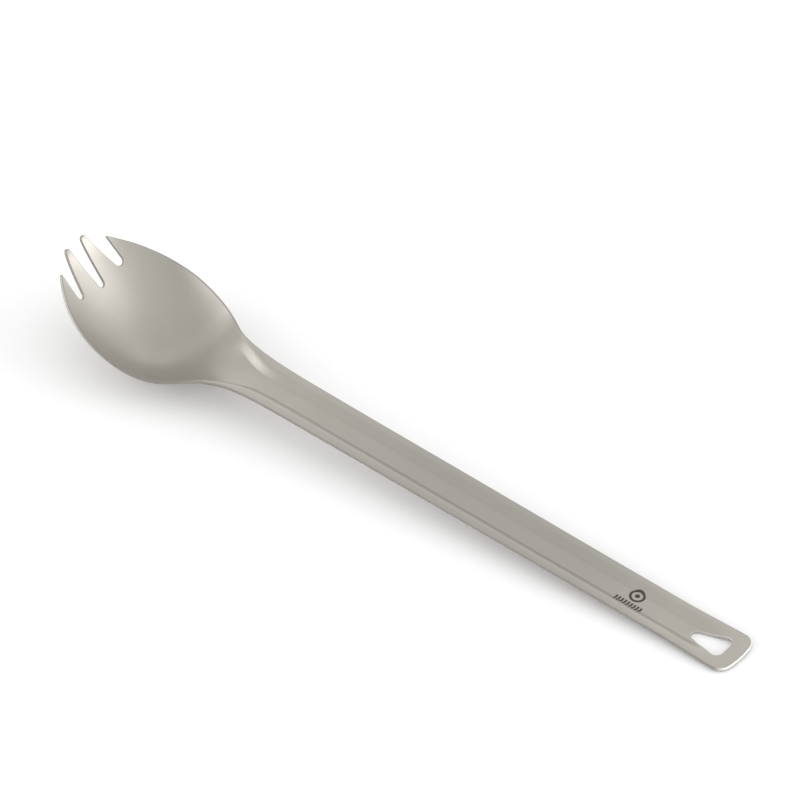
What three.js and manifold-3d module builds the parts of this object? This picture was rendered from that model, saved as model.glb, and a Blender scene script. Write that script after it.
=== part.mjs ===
// A long-handled spork stamped from one titanium sheet: a deep oval bowl with four tines,
// a straight handle with a shallow channel pressed down its middle, and a flat end with a
// rounded three-cornered hanging hole. Millimetres, +Z up.
//
// The sheet is described in its own frame first: x runs along the handle from the inner tine
// tips to the handle end, y across it, and the flat lips of the handle lie at z = 0. The whole
// piece is then tipped so that it lies on its bowl and its handle end.
import * as THREE from "three";
import { mergeVertices } from "three/addons/utils/BufferGeometryUtils.js";
import Module from "manifold-3d";

const wasm = await Module();
wasm.setup();

// ---- driving dimensions -------------------------------------------------------------------
const SHEET = 0.85; // sheet thickness
const BLANK_FRONT = -2.5; // the blank starts ahead of the tine tips, which are cut from it
const BLANK_BACK = 222.5; // and ends past the handle end, which is cut from it

// Stations along x, and the half width, rim height and centre-line height at each.
const HALF_WIDTH = {
  at: [-2.5, 3.3, 9, 15, 21, 27, 33, 38, 42, 46, 50, 54, 58, 63, 70, 78, 130, 192, 200, 214,
    222.5],
  is: [1.5, 9.2, 14.3, 17.5, 19.2, 19.7, 19.1, 17.7, 15.7, 13.1, 10.8, 9.3, 8.3, 7.65, 7.3,
    7.2, 7.05, 6.88, 6.9, 7.4, 7.6],
};
const RIM_HEIGHT = {
  at: [-2.5, 3.3, 9, 18, 27, 34, 40, 46, 52, 58, 66, 74, 222.5],
  is: [13.0, 7.7, 4.8, 1.75, -0.6, -2.3, -2.9, -2.35, -1.0, -0.2, 0, 0, 0],
};
const CENTRE_HEIGHT = {
  at: [-2.5, 0, 5, 10, 15, 20, 25, 30, 35, 40, 45, 50, 55, 60, 66, 74, 82, 198, 204, 208, 212,
    216, 222.5],
  is: [12.3, 9.7, 4.8, 0.4, -3.6, -7.0, -9.4, -10.6, -10.6, -9.3, -7.2, -5.1, -3.5, -2.3, -1.6,
    -1.4, -1.4, -1.4, -1.4, -1.15, -0.5, 0, 0],
};

// The flat lip outside the channel, and the riser between the lip and the channel floor.
const LIP_WIDTH = {
  at: [-2.5, 42, 46, 51, 56, 60, 66, 74, 130, 200, 222.5],
  is: [0.3, 0.3, 0.4, 0.8, 1.2, 1.5, 1.65, 1.65, 1.5, 1.25, 1.2],
};
const CHANNEL_FLOOR_SHARE = 0.42; // floor half width over the half width inside the lips
const RISER_BENDS = { floor: 0.15, lip: 0.45 }; // shares of the riser taken by its bends
const NECK_FLOOR_SHARE = 0.8; // the same where the bowl turns into the channel
const NECK = { start: 48, end: 66 }; // the bowl's round section turns into the channel here

// Tines, laid out on a plane through the inner tine tips that slopes down into the bowl.
// q runs down the slope from the tips and y across.
const TINE_SLOPE = THREE.MathUtils.degToRad(44);
const TINE_TIP_HEIGHT = 9.7;
const INNER_TIP = { q: 0.95, y: 3.33, r: 0.95 };
const OUTER_TIP = { q: 3.8, y: 9.4 };
const CENTRE_ROOT = { q: 13.1, r: 1.1 };
const OUTER_ROOT = { q: 11.5, y: 8.25, r: 1.33 };

// Handle end and hanging hole, in plan.
const END_CORNER = { x: 217, y: 3.8, r: 3.7 };
const END_CROWN_X = 193; // the bowed end edge is an arc about this point on the centre line
const HOLE_APEX = { x: 206.7, r: 1.6 };
const HOLE_BASE = { x: 214.4, y: 1.9, r: 1.9 };

// The cutters reach past the sheet, above, below and at the ends, and past its sides.
const CUT_REACH = 5;
const CUT_HALF_WIDTH = 16;

// Mesh density.
const BOWL_STEP = 2;
const BOWL_END = 70;
const HANDLE_STEP = 12;
const TAB_STEP = 2;
const TAB_START = 202;
const ACROSS = 9; // cells from the centre line to the lip
const ACROSS_FLOOR = 2; // of which on the channel floor
const ARC_STEPS = 6;

// ---- the formed sheet ---------------------------------------------------------------------
function smoothLine({ at, is }) {
  const line = new THREE.CubicInterpolant(at, is, 1, new Float64Array(1));
  return (x) => line.evaluate(THREE.MathUtils.clamp(x, at[0], at[at.length - 1]))[0];
}

const halfWidth = smoothLine(HALF_WIDTH);
const rimHeight = smoothLine(RIM_HEIGHT);
const centreHeight = smoothLine(CENTRE_HEIGHT);
const lipWidth = smoothLine(LIP_WIDTH);
const channelBlend = (x) => THREE.MathUtils.smoothstep(x, NECK.start, NECK.end);
function floorShare(x) {
  return THREE.MathUtils.lerp(NECK_FLOOR_SHARE, CHANNEL_FLOOR_SHARE, channelBlend(x));
}

// A circular arc from 0 at the centre line to 1 at t = 1, for a bowl of this width and depth.
function arcRise(t, width, depth) {
  if (depth < 0.01) return t * t;
  const radius = (width * width + depth * depth) / (2 * depth);
  return (radius - Math.sqrt(radius * radius - t * t * width * width)) / depth;
}

// The riser's rise from 0 at the channel floor to 1 at the lip, straight between its bends.
function riserRise(share) {
  const { floor, lip } = RISER_BENDS;
  const whole = 1 - floor / 2 - lip / 2;
  const u = THREE.MathUtils.clamp(share, 0, 1);
  if (u < floor) return (u * u) / (2 * floor) / whole;
  if (u > 1 - lip) return 1 - (1 - u) ** 2 / (2 * lip) / whole;
  return (u - floor / 2) / whole;
}

// Height of the sheet's middle surface. The end of the handle is flat, with no channel.
function height(x, y) {
  const inside = halfWidth(x) - lipWidth(x);
  const t = Math.min(Math.abs(y) / inside, 1);
  const depth = Math.max(rimHeight(x) - centreHeight(x), 0);
  const round = arcRise(t, inside, depth);
  const floor = floorShare(x);
  const pressed = riserRise((t - floor) / (1 - floor));
  const rise = THREE.MathUtils.lerp(round, pressed, channelBlend(x));
  return rimHeight(x) - depth * (1 - rise);
}

// Unit normal of the middle surface, from its slopes.
function normal(x, y) {
  const d = 0.05;
  const slopeX = (height(x + d, y) - height(x - d, y)) / (2 * d);
  const slopeY = (height(x, y + d) - height(x, y - d)) / (2 * d);
  return new THREE.Vector3(-slopeX, -slopeY, 1).normalize();
}

// Positions across one half, from the centre line to the edge: even cells in the bowl,
// and cells that follow the floor and the riser in the channel.
function acrossHalf(x) {
  const inside = halfWidth(x) - lipWidth(x);
  const floor = floorShare(x);
  const ys = [];
  for (let k = 0; k <= ACROSS; k++) {
    const onFloor = floor * Math.min(k / ACROSS_FLOOR, 1);
    const onRiser = (1 - floor) * Math.max((k - ACROSS_FLOOR) / (ACROSS - ACROSS_FLOOR), 0);
    ys.push(inside * THREE.MathUtils.lerp(k / ACROSS, onFloor + onRiser, channelBlend(x)));
  }
  return [...ys, halfWidth(x)];
}

function stations() {
  const xs = [];
  const span = (from, to, step) => {
    const count = Math.round((to - from) / step);
    for (let k = 0; k < count; k++) xs.push(from + ((to - from) * k) / count);
  };
  span(BLANK_FRONT, BOWL_END, BOWL_STEP);
  span(BOWL_END, TAB_START, HANDLE_STEP);
  span(TAB_START, BLANK_BACK, TAB_STEP);
  return [...xs, BLANK_BACK];
}

// The blank before its tines, hole and end are cut: a top and a bottom grid, half a sheet
// either side of the middle surface, joined by walls all round.
function blankGeometry() {
  const rows = stations().map((x) => {
    const half = acrossHalf(x);
    const ys = [...half.slice(1).reverse().map((y) => -y), ...half];
    return ys.map((y) => ({ at: new THREE.Vector3(x, y, height(x, y)), out: normal(x, y) }));
  });
  const columns = rows[0].length;
  const positions = [];
  for (const side of [SHEET / 2, -SHEET / 2]) {
    for (const row of rows) {
      for (const { at, out } of row) positions.push(...at.clone().addScaledVector(out, side));
    }
  }
  const top = (i, j) => i * columns + j;
  const bottom = (i, j) => (rows.length + i) * columns + j;
  const triangles = [];
  const quad = (a, b, c, d) => triangles.push(a, b, c, a, c, d);
  const lastRow = rows.length - 1;
  const lastColumn = columns - 1;
  for (let i = 0; i < lastRow; i++) {
    for (let j = 0; j < lastColumn; j++) {
      quad(top(i, j), top(i + 1, j), top(i + 1, j + 1), top(i, j + 1));
      quad(bottom(i, j), bottom(i, j + 1), bottom(i + 1, j + 1), bottom(i + 1, j));
    }
    quad(top(i, 0), bottom(i, 0), bottom(i + 1, 0), top(i + 1, 0));
    quad(top(i, lastColumn), top(i + 1, lastColumn), bottom(i + 1, lastColumn), bottom(i, lastColumn));
  }
  for (let j = 0; j < lastColumn; j++) {
    quad(top(0, j), top(0, j + 1), bottom(0, j + 1), bottom(0, j));
    quad(top(lastRow, j), bottom(lastRow, j), bottom(lastRow, j + 1), top(lastRow, j + 1));
  }
  const geometry = new THREE.BufferGeometry();
  geometry.setAttribute("position", new THREE.Float32BufferAttribute(positions, 3));
  geometry.setIndex(triangles);
  return geometry;
}

// ---- cutters ------------------------------------------------------------------------------
// Angle at which the straight side between two round corners leaves the first one.
function sideAngle(from, to) {
  const along = Math.atan2(to.y - from.y, to.x - from.x);
  const apart = Math.hypot(to.x - from.x, to.y - from.y);
  return along + Math.acos((from.r - to.r) / apart);
}

// Everything in front of the tines and between them, as one comb-shaped outline. Each slot
// ends in a round root, and its straight sides run out to the tine tips.
function combShape() {
  const quarter = Math.PI / 2;
  const shape = new THREE.Shape();
  const root = (q, y, r) => shape.absarc(q, y, r, -quarter, quarter, false);
  const innerTip = (y) => shape.absarc(INNER_TIP.q, y, INNER_TIP.r, 3 * quarter, quarter, true);
  shape.moveTo(-CUT_REACH, -CUT_HALF_WIDTH);
  shape.lineTo(OUTER_TIP.q, -CUT_HALF_WIDTH);
  shape.lineTo(OUTER_TIP.q, -OUTER_TIP.y);
  root(OUTER_ROOT.q, -OUTER_ROOT.y, OUTER_ROOT.r);
  innerTip(-INNER_TIP.y);
  root(CENTRE_ROOT.q, 0, CENTRE_ROOT.r);
  innerTip(INNER_TIP.y);
  root(OUTER_ROOT.q, OUTER_ROOT.y, OUTER_ROOT.r);
  shape.lineTo(OUTER_TIP.q, OUTER_TIP.y);
  shape.lineTo(OUTER_TIP.q, CUT_HALF_WIDTH);
  shape.lineTo(-CUT_REACH, CUT_HALF_WIDTH);
  shape.closePath();
  return shape;
}

// The hanging hole: three round corners with straight sides between them.
function holeShape() {
  const apex = { x: HOLE_APEX.x, y: 0, r: HOLE_APEX.r };
  const lean = sideAngle(apex, HOLE_BASE);
  const shape = new THREE.Shape();
  shape.absarc(apex.x, apex.y, apex.r, lean, 2 * Math.PI - lean, false);
  shape.absarc(HOLE_BASE.x, -HOLE_BASE.y, HOLE_BASE.r, -lean, 0, false);
  shape.absarc(HOLE_BASE.x, HOLE_BASE.y, HOLE_BASE.r, 0, lean, false);
  shape.closePath();
  return shape;
}

// Everything outside the rounded handle end, whose edge runs smoothly into its corners.
function endShape() {
  const { x, y, r } = END_CORNER;
  const crown = r + Math.hypot(x - END_CROWN_X, y);
  const lean = Math.atan2(y, x - END_CROWN_X);
  const back = BLANK_BACK + CUT_REACH;
  const shape = new THREE.Shape();
  shape.moveTo(x, -CUT_HALF_WIDTH);
  shape.lineTo(back, -CUT_HALF_WIDTH);
  shape.lineTo(back, CUT_HALF_WIDTH);
  shape.lineTo(x, CUT_HALF_WIDTH);
  shape.lineTo(x, y + r);
  shape.absarc(x, y, r, Math.PI / 2, lean, true);
  shape.absarc(END_CROWN_X, 0, crown, lean, -lean, true);
  shape.absarc(x, -y, r, -lean, -Math.PI / 2, true);
  shape.closePath();
  return shape;
}

function cutter(shape, placement) {
  const geometry = new THREE.ExtrudeGeometry(shape, {
    depth: 2 * CUT_REACH,
    bevelEnabled: false,
    curveSegments: ARC_STEPS,
  });
  return geometry.translate(0, 0, -CUT_REACH).applyMatrix4(placement);
}

// The tine plane: its x runs down the slope into the bowl, its y across the spork.
function tinePlane() {
  const turn = new THREE.Matrix4().makeRotationY(TINE_SLOPE);
  return turn.setPosition(0, 0, TINE_TIP_HEIGHT);
}

// ---- joining and cutting ------------------------------------------------------------------
function solid(geometry) {
  geometry.deleteAttribute("normal");
  geometry.deleteAttribute("uv");
  const merged = mergeVertices(geometry, 1e-4);
  return new wasm.Manifold(new wasm.Mesh({
    numProp: 3,
    vertProperties: new Float32Array(merged.attributes.position.array),
    triVerts: new Uint32Array(merged.index.array),
  }));
}

function geometryOf(manifold) {
  const mesh = manifold.getMesh();
  const geometry = new THREE.BufferGeometry();
  geometry.setAttribute("position", new THREE.BufferAttribute(mesh.vertProperties, 3));
  geometry.setIndex(new THREE.BufferAttribute(mesh.triVerts, 1));
  geometry.computeVertexNormals();
  return geometry;
}

function sporkGeometry() {
  const flat = new THREE.Matrix4();
  const cut = solid(blankGeometry())
    .subtract(solid(cutter(combShape(), tinePlane())))
    .subtract(solid(cutter(holeShape(), flat)))
    .subtract(solid(cutter(endShape(), flat)));
  return geometryOf(cut);
}

// ---- the part, lying on a table -----------------------------------------------------------
// The tilt at which the underside of the bowl and the underside of the handle end both touch.
function restTilt(geometry) {
  geometry.computeBoundingBox();
  const points = geometry.attributes.position;
  const end = { x: geometry.boundingBox.max.x, z: -SHEET / 2 };
  let tilt = 0;
  for (let i = 0; i < points.count; i++) {
    if (points.getX(i) > BOWL_END) continue;
    tilt = Math.max(tilt, Math.atan2(end.z - points.getZ(i), end.x - points.getX(i)));
  }
  return tilt;
}

const titanium = new THREE.MeshStandardMaterial({ color: 0xa9a59c, roughness: 0.42, metalness: 1 });
const spork = new THREE.Mesh(sporkGeometry(), titanium);
spork.name = "spork";
spork.rotation.y = restTilt(spork.geometry);

// The origin is under the middle of the part, on the table.
const box = new THREE.Box3().setFromObject(spork, true);
const middle = box.getCenter(new THREE.Vector3());
spork.position.set(-middle.x, -middle.y, -box.min.z);

const part = new THREE.Group();
part.add(spork);

export default part;
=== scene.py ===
import math

import bpy
import numpy as np
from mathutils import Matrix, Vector
from mathutils.geometry import delaunay_2d_cdt


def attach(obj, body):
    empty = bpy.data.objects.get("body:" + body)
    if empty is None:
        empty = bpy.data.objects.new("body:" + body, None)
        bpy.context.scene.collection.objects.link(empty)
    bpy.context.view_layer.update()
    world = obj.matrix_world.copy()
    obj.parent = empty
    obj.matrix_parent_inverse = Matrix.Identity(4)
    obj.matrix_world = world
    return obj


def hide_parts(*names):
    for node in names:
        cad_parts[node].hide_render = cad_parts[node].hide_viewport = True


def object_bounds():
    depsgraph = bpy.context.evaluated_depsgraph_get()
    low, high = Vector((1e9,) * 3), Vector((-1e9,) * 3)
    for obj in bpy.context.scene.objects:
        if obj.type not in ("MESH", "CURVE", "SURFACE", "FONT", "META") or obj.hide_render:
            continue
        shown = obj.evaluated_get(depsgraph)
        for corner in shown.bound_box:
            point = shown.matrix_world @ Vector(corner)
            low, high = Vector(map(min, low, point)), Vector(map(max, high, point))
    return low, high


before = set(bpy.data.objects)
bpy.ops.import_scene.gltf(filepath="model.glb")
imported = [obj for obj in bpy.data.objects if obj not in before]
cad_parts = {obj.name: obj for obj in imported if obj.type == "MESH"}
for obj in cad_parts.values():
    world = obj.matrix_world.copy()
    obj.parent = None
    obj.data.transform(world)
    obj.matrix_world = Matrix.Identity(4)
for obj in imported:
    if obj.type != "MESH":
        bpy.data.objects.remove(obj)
cad_low, cad_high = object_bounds()

MM = 0.001
TINY = 1e-6  # keeps divisors above zero

# ---- the formed sheet: driving dimensions ----------------------------------------------------
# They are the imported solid's, except that the lips here start from nothing at the neck.
SHEET = 0.85  # thickness

# Stations along the spork, from the tines to the handle end, and a value at each: the half
# width, the rim's height, the centre line's height, and the width of the lip beside the channel.
HALF_WIDTH = (
    [-2.5, 3.3, 9, 15, 21, 27, 33, 38, 42, 46, 50, 54, 58, 63, 70, 78, 130, 192, 200, 214, 222.5],
    [1.5, 9.2, 14.3, 17.5, 19.2, 19.7, 19.1, 17.7, 15.7, 13.1, 10.8, 9.3, 8.3, 7.65, 7.3, 7.2,
     7.05, 6.88, 6.9, 7.4, 7.6],
)
RIM_HEIGHT = (
    [-2.5, 3.3, 9, 18, 27, 34, 40, 46, 52, 58, 66, 74, 222.5],
    [13.0, 7.7, 4.8, 1.75, -0.6, -2.3, -2.9, -2.35, -1.0, -0.2, 0, 0, 0],
)
CENTRE_HEIGHT = (
    [-2.5, 0, 5, 10, 15, 20, 25, 30, 35, 40, 45, 50, 55, 60, 66, 74, 82, 198, 204, 208, 212, 216,
     222.5],
    [12.3, 9.7, 4.8, 0.4, -3.6, -7.0, -9.4, -10.6, -10.6, -9.3, -7.2, -5.1, -3.5, -2.3, -1.6,
     -1.4, -1.4, -1.4, -1.4, -1.15, -0.5, 0, 0],
)
LIP_WIDTH = (
    [-2.5, 42, 46, 51, 56, 60, 66, 74, 130, 200, 222.5],
    [0, 0, 0.2, 0.7, 1.2, 1.5, 1.65, 1.65, 1.5, 1.25, 1.2],
)
LIP_START = (42, 54)  # the bowl's slope fades out of the lips between these
NECK = (48, 66)  # the round bowl turns into the channel between these
NECK_FLOOR_SHARE = 0.8  # the flat floor's share of the width inside the lips, where it starts
CHANNEL_FLOOR_SHARE = 0.42  # and along the channel
RISER_BENDS = (0.15, 0.45)  # shares of the riser taken by its bends, at the floor and the lip

# A short running mean along the spork takes the jumps in curvature out of those lines.
BLEND_REACH = 1.5
BLEND_TAPS = 9
BLEND_WINDOW = 2.4  # the mean's weights are a squared cosine, up to pi over this
SLOPE_STEP = 0.05  # over which the sheet's slopes are measured

# Tines: q runs down the tine plane from the inner tips into the bowl, y across the spork.
TINE_SLOPE = math.radians(44)
TINE_TIP_HEIGHT = 9.7
INNER_TIP = {"q": 0.95, "y": 3.33, "r": 0.95}
OUTER_TIP = {"q": 3.8, "y": 9.4}
CENTRE_ROOT = {"q": 13.1, "r": 1.1}
OUTER_ROOT = {"q": 11.5, "y": 8.25, "r": 1.33}
CUT_ROUNDS = 12  # steps in finding where a cut meets the sheet

# Handle end and hanging hole, in plan.
END_CORNER = {"x": 217.0, "y": 3.8, "r": 3.7}
END_CROWN_X = 193  # centre of the bowed end edge
HOLE_APEX = {"x": 206.7, "y": 0, "r": 1.6}
HOLE_BASE = {"x": 214.4, "y": 1.9, "r": 1.9}

# The cut edges are rounded over, and the outline's sharp corners are softened.
EDGE_ROUND = 0.13
EDGE_STEPS = 3
EDGE_SUPPORT = 0.24  # a last ring inside the rounding, where the open surface starts
TURN_SHARE = 0.75  # in tight turns the rings keep within this share of the turn's radius
TURN_SPREAD = 3  # outline points over which that limit fades in and out
CORNER_SOFTNESS = 0.22

# Where the painted highlight, the polish and the painted shade change, as lengths along the spork,
# and how far.
END_POLISH_AND_GLINT = (217.5, 220.5)  # the cut edge turns polished, and is painted bright as a highlight, between these
# the hole's edge is partly polished and partly painted bright as a highlight
HOLE_POLISH_AND_GLINT = 0.35
HANDLE_SHADE_START = (55, 125)  # painted shade: the handle is coloured a shade darker between these
HANDLE_SHADE_END = (165, 208)  # and back between these

# The generic laser mark: a plain ring round a dot, and a row of short bars beside it.
MARK_RING = {"x": 186.2, "y": 1.45}
MARK_CIRCLES = ((2.25, 60), (1.55, 42), (0.7, 24))  # radius and points: ring, its hole, the dot
MARK_BARS = {"first": 181.7, "y": -3.9, "count": 9, "pitch": 0.98, "width": 0.58, "height": 2.5}
MARK_STEP = 0.2

# Mesh density.
ARC_POINTS = 24
SIDE_POINTS = 1200
FINE_STEP = 0.08  # outline spacing while its corners are softened
OUTLINE_STEP = 0.3
HANDLE_OUTLINE_STEP = 1.0
BOWL_STEP = 0.8
HANDLE_STEP = 1.2
FIRST_ROW = 0.2
BOWL_END = 66
END_REACH = 4  # how far the end's points reach either side of its corner centres
FLOOR_CELLS = 5
RISER_CELLS = 19
LIP_CELLS = 5
LEAST_LIP = 0.3  # a narrower lip has no points of its own
EDGE_CLEARANCE = 0.22  # open points keep this far from the outlines
MARK_CLEARANCE = 0.09
MERGE_DISTANCE = 1e-7


def smoothstep(value, low, high):
    share = np.clip((value - low) / (high - low), 0, 1)
    return share * share * (3 - 2 * share)


def mix(a, b, share):
    return a + (b - a) * share


def pressed(share):
    """The riser's rise from 0 at the channel floor to 1 at the lip, with a bend at each end."""
    low, high = RISER_BENDS
    whole = 1 - low / 2 - high / 2
    u = np.clip(share, 0, 1)
    rise = np.where(u < low, u * u / (2 * low), u - low / 2)
    return np.where(u > 1 - high, whole - (1 - u) ** 2 / (2 * high), rise) / whole


def smooth_line(stations, values):
    """A curve through the stations, with the mean of the slopes either side at each one."""
    at = np.array(stations, float)
    level = np.array(values, float)
    slopes = np.diff(level) / np.diff(at)
    tangents = np.concatenate([[0], (slopes[:-1] + slopes[1:]) / 2, [0]])

    def line(x):
        x = np.clip(x, at[0], at[-1])
        i = np.clip(np.searchsorted(at, x, side="right") - 1, 0, len(at) - 2)
        step = at[i + 1] - at[i]
        s = (x - at[i]) / step
        ends = level[i] * (1 + 2 * s) * (1 - s) ** 2 + level[i + 1] * s * s * (3 - 2 * s)
        return ends + step * (tangents[i] * s * (1 - s) ** 2 - tangents[i + 1] * s * s * (1 - s))

    taps = np.linspace(-BLEND_REACH, BLEND_REACH, BLEND_TAPS)
    weights = np.cos(taps / BLEND_REACH * math.pi / BLEND_WINDOW) ** 2
    weights /= weights.sum()
    return lambda x: sum(w * line(np.asarray(x, float) + tap) for w, tap in zip(weights, taps))


half_width = smooth_line(*HALF_WIDTH)
rim_height = smooth_line(*RIM_HEIGHT)
centre_height = smooth_line(*CENTRE_HEIGHT)
lip_line = smooth_line(*LIP_WIDTH)


def lip_width(x):
    return np.maximum(lip_line(x), 0)


def channel_blend(x):
    """0 in the bowl and 1 along the channel."""
    return smoothstep(x, *NECK)


def floor_share(x):
    return mix(NECK_FLOOR_SHARE, CHANNEL_FLOOR_SHARE, channel_blend(x))


def height(x, y):
    """Height of the sheet's middle surface."""
    inside = half_width(x) - lip_width(x)
    across = np.minimum(np.abs(y), inside)
    depth = np.maximum(rim_height(x) - centre_height(x), TINY)
    radius = (inside**2 + depth**2) / (2 * depth)
    round_rise = across**2 / (radius + np.sqrt(np.maximum(radius**2 - across**2, 0))) / depth
    floor = floor_share(x)
    pressed_rise = pressed((across / inside - floor) / (1 - floor))
    rise = mix(round_rise, pressed_rise, channel_blend(x))
    # Where the lip starts, the bowl's slope carries on into it and fades out to a flat lip.
    rim_slope = inside / (radius - depth) * (1 - smoothstep(x, *LIP_START))
    return rim_height(x) - depth * (1 - rise) + rim_slope * (np.abs(y) - across)


def surface(plan):
    """Points and unit normals of the middle surface over plan points."""
    x, y = plan[:, 0], plan[:, 1]
    d = SLOPE_STEP
    slope_x = (height(x + d, y) - height(x - d, y)) / (2 * d)
    slope_y = (height(x, y + d) - height(x, y - d)) / (2 * d)
    normals = np.stack([-slope_x, -slope_y, np.ones_like(x)], axis=1)
    normals /= np.linalg.norm(normals, axis=1, keepdims=True)
    return np.stack([x, y, height(x, y)], axis=1), normals


# ---- outlines --------------------------------------------------------------------------------
def arc(x, y, r, start, end, count=ARC_POINTS):
    angles = np.linspace(start, end, count)
    return np.stack([x + r * np.cos(angles), y + r * np.sin(angles)], axis=1)


def closed(loop):
    return np.concatenate([loop, loop[:1]])


def on_sheet(slots):
    """Plan points where a cut square to the tine plane at (q, y) meets the sheet."""
    q, y = slots[:, 0], slots[:, 1]
    sine, cosine = math.sin(TINE_SLOPE), math.cos(TINE_SLOPE)
    along = np.zeros_like(q)
    for _ in range(CUT_ROUNDS):
        x = q * cosine + along * sine
        gap = TINE_TIP_HEIGHT - q * sine + along * cosine - height(x, y)
        along -= gap * cosine
    return np.stack([q * cosine + along * sine, y], axis=1)


def subdivided(points, step):
    """The line through the points, with points added so that they are about a step apart."""
    pieces = []
    for a, b in zip(points[:-1], points[1:]):
        count = max(int(np.linalg.norm(b - a) / step), 1)
        pieces.append(a + (b - a) * (np.arange(count) / count)[:, None])
    return np.concatenate([*pieces, points[-1:]])


def half_outline():
    """The outline on the +y side, from the middle slot's root round to the handle end."""
    quarter = math.pi / 2
    slots = np.concatenate([
        arc(CENTRE_ROOT["q"], 0, CENTRE_ROOT["r"], 0, quarter, ARC_POINTS // 2),
        arc(INNER_TIP["q"], INNER_TIP["y"], INNER_TIP["r"], 3 * quarter, quarter),
        arc(OUTER_ROOT["q"], OUTER_ROOT["y"], OUTER_ROOT["r"], -quarter, quarter),
        [[OUTER_TIP["q"], OUTER_TIP["y"]]],
    ])
    comb = on_sheet(subdivided(slots, OUTLINE_STEP / 3))
    outside = np.abs(comb[:, 1]) > half_width(comb[:, 0])
    comb = comb[: np.argmax(outside)] if outside.any() else comb
    x, y, r = END_CORNER["x"], END_CORNER["y"], END_CORNER["r"]
    side_x = np.linspace(comb[-1, 0], x, SIDE_POINTS)[1:]
    lean = math.atan2(y, x - END_CROWN_X)
    crown = r + math.hypot(x - END_CROWN_X, y)
    return np.concatenate([
        comb,
        np.stack([side_x, half_width(side_x)], axis=1),
        arc(x, y, r, quarter, lean)[1:],
        arc(END_CROWN_X, 0, crown, lean, 0, ARC_POINTS // 2)[1:],
    ])


def resampled(loop, step_at):
    """A closed loop with points evenly spread, at a spacing that step_at gives along it."""
    ring = closed(loop)
    solid, _ = surface(ring)
    lengths = np.linalg.norm(np.diff(solid, axis=0), axis=1)
    middle = (ring[:-1] + ring[1:]) / 2
    steps = lengths / step_at(middle[:, 0])
    reach = np.concatenate([[0], np.cumsum(steps)])
    count = int(round(reach[-1]))
    wanted = np.arange(count) * reach[-1] / count
    return np.stack([np.interp(wanted, reach, ring[:, k]) for k in (0, 1)], axis=1)


def softened(loop, softness, spacing):
    """A closed loop with its sharp corners rounded by a short running mean."""
    reach = max(int(round(2 * softness / spacing)), 1)
    offsets = np.arange(-reach, reach + 1)
    weights = np.exp(-0.5 * (offsets * spacing / softness) ** 2)
    weights /= weights.sum()
    return sum(w * np.roll(loop, k, axis=0) for w, k in zip(weights, offsets))


def outline_spacing(x):
    curved = (x < BOWL_END) | (x > END_CORNER["x"] - END_REACH)
    return np.where(curved, OUTLINE_STEP, HANDLE_OUTLINE_STEP)


def outer_loop():
    half = half_outline()
    mirrored = half[::-1][1:-1] * [1, -1]
    loop = resampled(np.concatenate([half, mirrored]), lambda x: FINE_STEP)
    return resampled(softened(loop, CORNER_SOFTNESS, FINE_STEP), outline_spacing)


def side_angle(a, b):
    """Where a straight line over both circles touches them, as an angle round their centres."""
    along = math.atan2(b["y"] - a["y"], b["x"] - a["x"])
    apart = math.hypot(b["x"] - a["x"], b["y"] - a["y"])
    return along + math.acos((a["r"] - b["r"]) / apart)


def hole_loop():
    """A triangle with rounded corners, its apex towards the bowl."""
    lean = side_angle(HOLE_APEX, HOLE_BASE)
    base = HOLE_BASE
    loop = np.concatenate([
        arc(HOLE_APEX["x"], 0, HOLE_APEX["r"], lean, 2 * math.pi - lean),
        arc(base["x"], -base["y"], base["r"], -lean, 0),
        arc(base["x"], base["y"], base["r"], 0, lean),
    ])
    return resampled(loop, lambda x: OUTLINE_STEP)


def mark_loops():
    loops = [
        arc(MARK_RING["x"], MARK_RING["y"], radius, 0, 2 * math.pi, count + 1)[:-1]
        for radius, count in MARK_CIRCLES
    ]
    low, w, h = MARK_BARS["y"], MARK_BARS["width"], MARK_BARS["height"]
    for k in range(MARK_BARS["count"]):
        x = MARK_BARS["first"] + k * MARK_BARS["pitch"]
        corners = np.array([[x, low], [x + w, low], [x + w, low + h], [x, low + h]])
        loops.append(subdivided(closed(corners), MARK_STEP)[:-1])
    return loops


# ---- the mesh --------------------------------------------------------------------------------
def metal_side(loop, hole):
    """1 where the metal is on the left as the loop runs, -1 where it is on the right."""
    x, y = loop[:, 0], loop[:, 1]
    area = 0.5 * np.sum(x * np.roll(y, -1) - y * np.roll(x, -1))
    return 1 if (area < 0) == hole else -1


def inset_rings(loop, side):
    """Rings of plan points and sheet offsets that round the cut edge over, wall first."""
    solid, normals = surface(loop)
    tangent = np.roll(solid, -1, axis=0) - np.roll(solid, 1, axis=0)
    spans = np.linalg.norm(tangent, axis=1)
    tangent /= spans[:, None]
    into = np.cross(normals, tangent) * side
    into /= np.linalg.norm(into, axis=1, keepdims=True)
    # Where the outline turns tightly round metal, the rings keep inside its radius.
    turn = np.roll(tangent, -1, axis=0) - np.roll(tangent, 1, axis=0)
    bend = np.sum(turn * into, axis=1) / spans
    share = np.minimum(1, TURN_SHARE / np.maximum(bend * EDGE_SUPPORT, TINY))
    near = range(-TURN_SPREAD, TURN_SPREAD + 1)
    wide = np.stack([np.roll(share, k) for k in near]).min(axis=0)
    share = np.stack([np.roll(wide, k) for k in near]).mean(axis=0)
    rings = []
    for k in range(EDGE_STEPS + 1):
        angle = k / EDGE_STEPS * math.pi / 2
        inset = EDGE_ROUND * (1 - math.cos(angle))
        half = SHEET / 2 - EDGE_ROUND + EDGE_ROUND * math.sin(angle)
        rings.append((loop + into[:, :2] * (inset * share)[:, None], half))
    rings.append((loop + into[:, :2] * (EDGE_SUPPORT * share)[:, None], SHEET / 2))
    return rings


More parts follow.
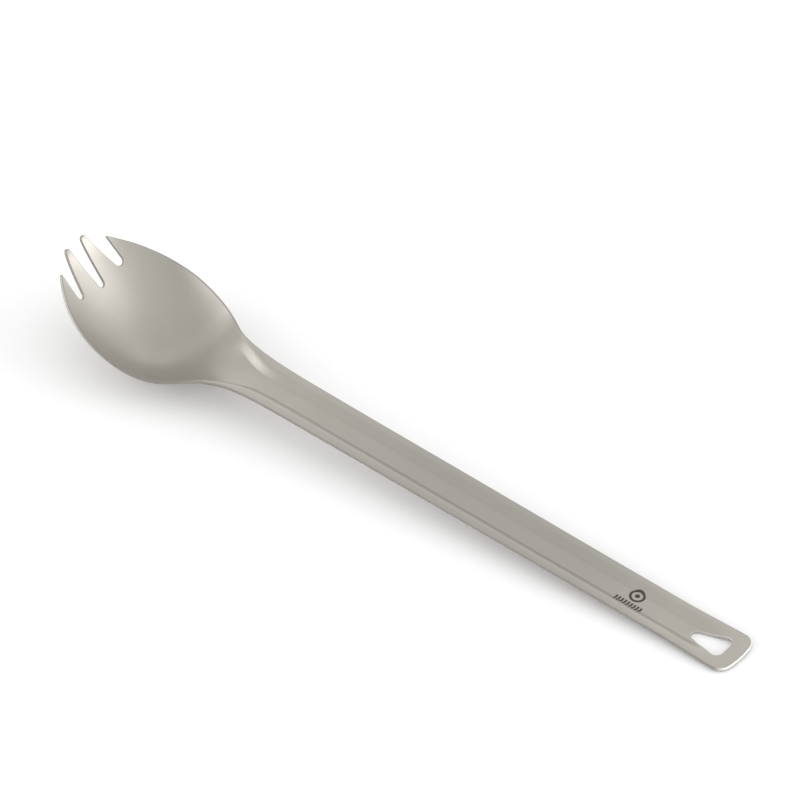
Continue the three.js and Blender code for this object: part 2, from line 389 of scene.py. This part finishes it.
def inside_loops(points, loops):
    """Which points lie inside an odd number of the loops."""
    found = np.zeros(len(points), bool)
    for loop in loops:
        for a, b in zip(loop, np.roll(loop, -1, axis=0)):
            if a[1] == b[1]:
                continue
            spans = (points[:, 1] < a[1]) != (points[:, 1] < b[1])
            cross = a[0] + (points[:, 1] - a[1]) * (b[0] - a[0]) / (b[1] - a[1])
            found ^= spans & (points[:, 0] < cross)
    return found


def near_loops(points, loops, reach):
    """Which points lie within reach of a loop."""
    near = np.zeros(len(points), bool)
    for loop in loops:
        for a in subdivided(closed(loop), reach):
            near |= np.sum((points - a) ** 2, axis=1) < reach * reach
    return near


def open_points():
    """Points over the sheet: even in the bowl, and along the floor, riser and lips further on."""
    xs = np.concatenate([
        np.arange(FIRST_ROW, BOWL_END, BOWL_STEP),
        np.arange(BOWL_END, END_CORNER["x"] + END_REACH, HANDLE_STEP),
    ])
    cells = FLOOR_CELLS + RISER_CELLS
    k = np.arange(cells + 1)
    points = []
    for x in xs:
        lip = float(lip_width(x))
        inside = float(half_width(x)) - lip
        share = float(floor_share(x))
        on_floor = share * np.minimum(k / FLOOR_CELLS, 1)
        on_riser = (1 - share) * np.maximum((k - FLOOR_CELLS) / RISER_CELLS, 0)
        across = inside * mix(k / cells, on_floor + on_riser, float(channel_blend(x)))
        if lip > LEAST_LIP:
            across = np.concatenate([across, inside + lip * np.arange(1, LIP_CELLS) / LIP_CELLS])
        across = np.concatenate([-across[:0:-1], across])
        points.append(np.stack([np.full_like(across, x), across], axis=1))
    return np.concatenate(points)


def triangulated(loops, free, marks):
    """Triangles over plan points: the loops, the marks' outlines and the free points."""
    points = np.concatenate([*loops, *marks, free])
    edges, start = [], 0
    for loop in [*loops, *marks]:
        count = len(loop)
        edges += [(start + k, start + (k + 1) % count) for k in range(count)]
        start += count
    made = delaunay_2d_cdt([Vector(p) for p in points], edges, [], 0, MERGE_DISTANCE, True)
    source = [ids[0] for ids in made[3]]
    triangles = np.array([[source[i] for i in face] for face in made[2]])
    a, b, c = (points[triangles[:, k]] for k in range(3))
    turned = (b[:, 0] - a[:, 0]) * (c[:, 1] - a[:, 1]) < (b[:, 1] - a[:, 1]) * (c[:, 0] - a[:, 0])
    triangles[turned] = triangles[turned][:, ::-1]
    kept = inside_loops((a + b + c) / 3, loops)
    return points, triangles[kept]


def sheet_mesh():
    """The whole sheet as one closed mesh: vertices, faces, which faces are marked, and the masks of
    polish and painted light.

    The masks say how far each vertex is on a cut edge, painted dark as shade; on the polished edge,
    painted bright as a highlight; and on the handle, painted a shade darker.
    """
    outlines = [outer_loop(), hole_loop()]
    sides = [metal_side(outlines[0], hole=False), metal_side(outlines[1], hole=True)]
    rings = [inset_rings(loop, side) for loop, side in zip(outlines, sides)]
    inner = [group[-1][0] for group in rings]
    marks = mark_loops()
    free = open_points()
    free = free[inside_loops(free, inner)]
    free = free[~near_loops(free, inner, EDGE_CLEARANCE)]
    free = free[~near_loops(free, marks, MARK_CLEARANCE)]
    plan, triangles = triangulated(inner, free, marks)
    vertices, cuts, polish_and_glint_values = [], [], []

    def add(points, half, cut, polish_and_glint):
        """Adds vertices over plan points, half off the middle surface. Returns their numbers."""
        solid, normals = surface(points)
        first = sum(len(group) for group in vertices)
        vertices.append(solid + normals * half)
        cuts.append(np.full(len(points), cut))
        polish_and_glint_values.append(np.broadcast_to(polish_and_glint, len(points)))
        return np.arange(first, first + len(points))

    top = add(plan, SHEET / 2, 0.0, 0.0)
    bottom = add(plan, -SHEET / 2, 0.0, 0.0)
    faces = [tuple(top[t]) for t in triangles]
    faces += [tuple(bottom[t[::-1]]) for t in triangles]

    start = 0
    # Painted highlight: the handle end's edge and the hole's edge are coloured bright, and polished.
    edge_polish_and_glint = [smoothstep(outlines[0][:, 0], *END_POLISH_AND_GLINT), HOLE_POLISH_AND_GLINT]
    for loop, group, side, polish_and_glint in zip(outlines, rings, sides, edge_polish_and_glint):
        # Around the edge in order: the top's last ring, the rounding, the wall, the bottom.
        own = slice(start, start + len(loop))
        bands = [top[own]]
        bands += [add(ring, half, 1.0, polish_and_glint) for ring, half in group[-2::-1]]
        bands += [add(ring, -half, 1.0, polish_and_glint) for ring, half in group[:-1]]
        bands.append(bottom[own])
        for upper, lower in zip(bands[:-1], bands[1:]):
            quads = np.stack([upper, lower, np.roll(lower, -1), np.roll(upper, -1)], axis=1)
            faces += [tuple(quad[::side]) for quad in quads]
        start += len(loop)

    marked = np.zeros(len(faces), bool)
    marked[: len(triangles)] = inside_loops(plan[triangles].mean(axis=1), marks)
    points = np.concatenate(vertices)
    # Painted shade: how far each point takes the handle's darker colour.
    handle_shade_share = smoothstep(points[:, 0], *HANDLE_SHADE_START) - smoothstep(points[:, 0], *HANDLE_SHADE_END)
    finish_and_painted_light = {"cut": np.concatenate(cuts), "polish_and_glint": np.concatenate(polish_and_glint_values), "handle_shade": handle_shade_share}
    return points, faces, marked, finish_and_painted_light


def place(points):
    """The sheet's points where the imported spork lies: on its bowl and its handle end, in metres."""
    bowl = points[points[:, 0] < BOWL_END]
    end_x = points[:, 0].max()
    tilt = np.arctan2(-SHEET / 2 - bowl[:, 2], end_x - bowl[:, 0]).max()
    sine, cosine = math.sin(tilt), math.cos(tilt)
    x = points[:, 0] * cosine + points[:, 2] * sine
    z = points[:, 2] * cosine - points[:, 0] * sine
    x += (cad_low.x + cad_high.x) / 2 / MM - (x.min() + x.max()) / 2
    z += cad_low.z / MM - z.min()
    return np.stack([x, points[:, 1], z], axis=1) * MM


# ---- materials -------------------------------------------------------------------------------
TITANIUM = (0.387, 0.368, 0.333, 1)
TITANIUM_DEEP = (0.365, 0.349, 0.313, 1)
# Painted shade: the handle's darker copy of the titanium colour.
HANDLE_SHADE_COLOUR = (0.322, 0.306, 0.278, 1)
# Painted shade: the cut edges are coloured dark, standing in for the shadowed table they reflect.
CUT_EDGE_SHADE = (0.25, 0.235, 0.21, 1)
# Painted highlight: the bright colour of the polished end edge and hole edge.
POLISHED_GLINT_COLOUR = (0.85, 0.84, 0.82, 1)
BLASTED_METALLIC = 0.58  # the blasted face scatters part of its light
BLASTED_ROUGHNESS = (0.31, 0.35)
POLISHED_ROUGHNESS = 0.25

# Noise scales are per metre, and bump distances in metres.
CLOUDS = {"scale": 90, "detail": 3}
CLOUD_RANGE = (0.35, 0.65)
FINE_GRAIN = {"scale": 9000, "detail": 2, "roughness": 0.6}
FINE_BUMP = {"strength": 0.35, "distance": 0.00002}
COARSE_GRAIN = {"scale": 2600, "detail": 2}
COARSE_BUMP = {"strength": 0.25, "distance": 0.00003}

LASER_DARK = (0.045, 0.04, 0.036, 1)
LASER_METALLIC = 0.3
LASER_GRAIN = {"scale": 4000, "detail": 2}
LASER_ROUGHNESS = (0.5, 0.7)

TABLE_WHITE = (0.86, 0.86, 0.86, 1)
TABLE_ROUGHNESS = 0.9
TABLE_SPECULAR = 0.1


def new_material(name):
    material = bpy.data.materials.new(name)
    material.use_nodes = True
    tree = material.node_tree
    return material, tree.nodes, tree.links, tree.nodes["Principled BSDF"]


def feed(links, value, socket):
    """Links another node's output to the socket, or sets the socket to a plain value."""
    if isinstance(value, bpy.types.NodeSocket):
        links.new(value, socket)
    else:
        socket.default_value = value


def object_place(nodes):
    return nodes.new("ShaderNodeTexCoord").outputs["Object"]


def attribute(nodes, name):
    node = nodes.new("ShaderNodeAttribute")
    node.attribute_name = name
    return node.outputs["Fac"]


def noise(nodes, links, coordinates, scale, detail, roughness=0.5):
    node = nodes.new("ShaderNodeTexNoise")
    node.inputs["Scale"].default_value = scale
    node.inputs["Detail"].default_value = detail
    node.inputs["Roughness"].default_value = roughness
    links.new(coordinates, node.inputs["Vector"])
    return node.outputs["Fac"]


def mixed_colour(nodes, links, factor, low, high):
    node = nodes.new("ShaderNodeMix")
    node.data_type = "RGBA"
    links.new(factor, node.inputs["Factor"])
    # The node's number, vector and colour sockets share their names, so A and B go by place.
    feed(links, low, node.inputs[6])
    feed(links, high, node.inputs[7])
    return node.outputs[2]


def ranged(nodes, links, value, low, high, from_low=0.0, from_high=1.0):
    node = nodes.new("ShaderNodeMapRange")
    node.inputs["From Min"].default_value = from_low
    node.inputs["From Max"].default_value = from_high
    feed(links, low, node.inputs["To Min"])
    feed(links, high, node.inputs["To Max"])
    links.new(value, node.inputs["Value"])
    return node.outputs["Result"]


def bumped(nodes, links, bumps, strength, distance, normal=None):
    node = nodes.new("ShaderNodeBump")
    node.inputs["Strength"].default_value = strength
    node.inputs["Distance"].default_value = distance
    links.new(bumps, node.inputs["Height"])
    if normal is not None:
        links.new(normal, node.inputs["Normal"])
    return node.outputs["Normal"]


def titanium_material():
    """Bead-blasted titanium: a fine grain, a faint cloudy tone, the handle and the cut edges painted
    darker as shade, and the polished end edge painted bright as a highlight.
    """
    material, nodes, links, shader = new_material("blasted_titanium")
    at = object_place(nodes)
    cut, polish_and_glint, handle_shade = (attribute(nodes, name) for name in ("cut", "polish_and_glint", "handle_shade"))
    clouds = ranged(nodes, links, noise(nodes, links, at, **CLOUDS), 0, 1, *CLOUD_RANGE)

    fresh = mixed_colour(nodes, links, clouds, TITANIUM, TITANIUM_DEEP)
    # Painted shade: the handle is coloured a shade darker.
    blasted = mixed_colour(nodes, links, handle_shade, fresh, HANDLE_SHADE_COLOUR)
    # Painted shade: the cut edges are coloured dark.
    edge_shaded_colour = mixed_colour(nodes, links, cut, blasted, CUT_EDGE_SHADE)
    # Painted highlight: the end edge and the hole's edge are coloured bright.
    colour = mixed_colour(nodes, links, polish_and_glint, edge_shaded_colour, POLISHED_GLINT_COLOUR)
    links.new(colour, shader.inputs["Base Color"])
    matte = ranged(nodes, links, clouds, *BLASTED_ROUGHNESS)
    rough = ranged(nodes, links, polish_and_glint, matte, POLISHED_ROUGHNESS)
    links.new(rough, shader.inputs["Roughness"])
    shader.inputs["Metallic"].default_value = BLASTED_METALLIC

    fine = bumped(nodes, links, noise(nodes, links, at, **FINE_GRAIN), **FINE_BUMP)
    coarse_grain = noise(nodes, links, at, **COARSE_GRAIN)
    grained = bumped(nodes, links, coarse_grain, normal=fine, **COARSE_BUMP)
    links.new(grained, shader.inputs["Normal"])
    return material


def laser_material():
    """The dark oxide that a marking laser leaves."""
    material, nodes, links, shader = new_material("laser_mark")
    shader.inputs["Base Color"].default_value = LASER_DARK
    shader.inputs["Metallic"].default_value = LASER_METALLIC
    grain = noise(nodes, links, object_place(nodes), **LASER_GRAIN)
    links.new(ranged(nodes, links, grain, *LASER_ROUGHNESS), shader.inputs["Roughness"])
    return material


def table_material():
    material, _, _, shader = new_material("pale_table")
    shader.inputs["Base Color"].default_value = TABLE_WHITE
    shader.inputs["Roughness"].default_value = TABLE_ROUGHNESS
    shader.inputs["Specular IOR Level"].default_value = TABLE_SPECULAR
    return material


# ---- the pieces ------------------------------------------------------------------------------
TABLE_HALF = 30.0  # metres


def make_spork():
    points, faces, marked, finish_and_painted_light = sheet_mesh()
    mesh = bpy.data.meshes.new("spork_sheet")
    mesh.from_pydata(place(points).tolist(), [], faces)
    mesh.materials.append(titanium_material())
    mesh.materials.append(laser_material())
    mesh.polygons.foreach_set("material_index", marked.astype(int))
    mesh.polygons.foreach_set("use_smooth", np.ones(len(faces), bool))
    for name, values in finish_and_painted_light.items():
        mesh.attributes.new(name, "FLOAT", "POINT").data.foreach_set("value", values)
    mesh.update()
    piece = bpy.data.objects.new("spork_sheet", mesh)
    bpy.context.collection.objects.link(piece)
    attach(piece, "root")
    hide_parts("spork")


def make_floor():
    mesh = bpy.data.meshes.new("table")
    half, top = TABLE_HALF, cad_low.z
    corners = [(-half, -half, top), (half, -half, top), (half, half, top), (-half, half, top)]
    mesh.from_pydata(corners, [], [(0, 1, 2, 3)])
    mesh.materials.append(table_material())
    floor = bpy.data.objects.new("table", mesh)
    bpy.context.collection.objects.link(floor)


# ---- camera and light ------------------------------------------------------------------------
CAMERA_AZIMUTH = 37.6
CAMERA_ELEVATION = 43.3
CAMERA_DISTANCE = 7.0
FRAME_WIDTH = 0.2088  # what the frame takes in across the spork, in metres
AIM_RIGHT = -0.0013  # from the middle of the spork's box to the middle of the frame
AIM_UP = 0.0131
SENSOR_WIDTH = 36
CLIP_RANGE = (0.1, 60)

# Soft boxes round the spork: azimuth, elevation and brightness over the even fill. A
# negative one is a dark flag in front of the fill.
FILL = 1.03
SOFTBOX_SHARPNESS = 16
SOFTBOXES = {
    "back_right": (120, 8, 5.5),
    "back": (205, 24, 0.35),
    "left": (300, 8, 3.2),
    "front_left": (338, 8, 3.6),
    "flag_left": (293, 61, -0.15),
    "flag_front": (15, 42, -0.3),
}


def sky(azimuth, elevation):
    """A direction from the spork: azimuth 0 is -Y, 90 is +X, in degrees."""
    a, e = math.radians(azimuth), math.radians(elevation)
    return Vector((math.sin(a) * math.cos(e), -math.cos(a) * math.cos(e), math.sin(e)))


def make_camera():
    back = sky(CAMERA_AZIMUTH, CAMERA_ELEVATION)
    right = sky(CAMERA_AZIMUTH + 90, 0)
    up = back.cross(right)
    centre = (cad_low + cad_high) / 2
    target = centre + right * AIM_RIGHT + up * AIM_UP
    data = bpy.data.cameras.new("camera")
    data.sensor_width = SENSOR_WIDTH
    data.lens = SENSOR_WIDTH * CAMERA_DISTANCE / FRAME_WIDTH
    data.clip_start, data.clip_end = CLIP_RANGE
    camera = bpy.data.objects.new("camera", data)
    camera.location = target + back * CAMERA_DISTANCE
    camera.rotation_euler = (-back).to_track_quat("-Z", "Y").to_euler()
    bpy.context.collection.objects.link(camera)
    bpy.context.scene.camera = camera


def make_studio():
    """Light from all round, with a soft bright patch in the world for each soft box."""
    world = bpy.data.worlds.new("studio")
    bpy.context.scene.world = world
    world.use_nodes = True
    nodes, links = world.node_tree.nodes, world.node_tree.links
    direction = nodes.new("ShaderNodeTexCoord").outputs["Generated"]

    def maths(operation, a, b=0.0):
        node = nodes.new("ShaderNodeMath")
        node.operation = operation
        feed(links, a, node.inputs[0])
        feed(links, b, node.inputs[1])
        return node.outputs["Value"]

    total = FILL
    for azimuth, elevation, brightness in SOFTBOXES.values():
        facing = nodes.new("ShaderNodeVectorMath")
        facing.operation = "DOT_PRODUCT"
        facing.inputs[1].default_value = sky(azimuth, elevation)
        links.new(direction, facing.inputs[0])
        away = maths("SUBTRACT", facing.outputs["Value"], 1.0)
        patch = maths("EXPONENT", maths("MULTIPLY", away, SOFTBOX_SHARPNESS))
        total = maths("ADD", maths("MULTIPLY", patch, brightness), total)
    background = nodes["Background"]
    background.inputs["Color"].default_value = (1, 1, 1, 1)
    links.new(total, background.inputs["Strength"])
    bpy.context.scene.view_settings.view_transform = "Standard"


make_camera()
make_studio()
make_floor()
make_spork()
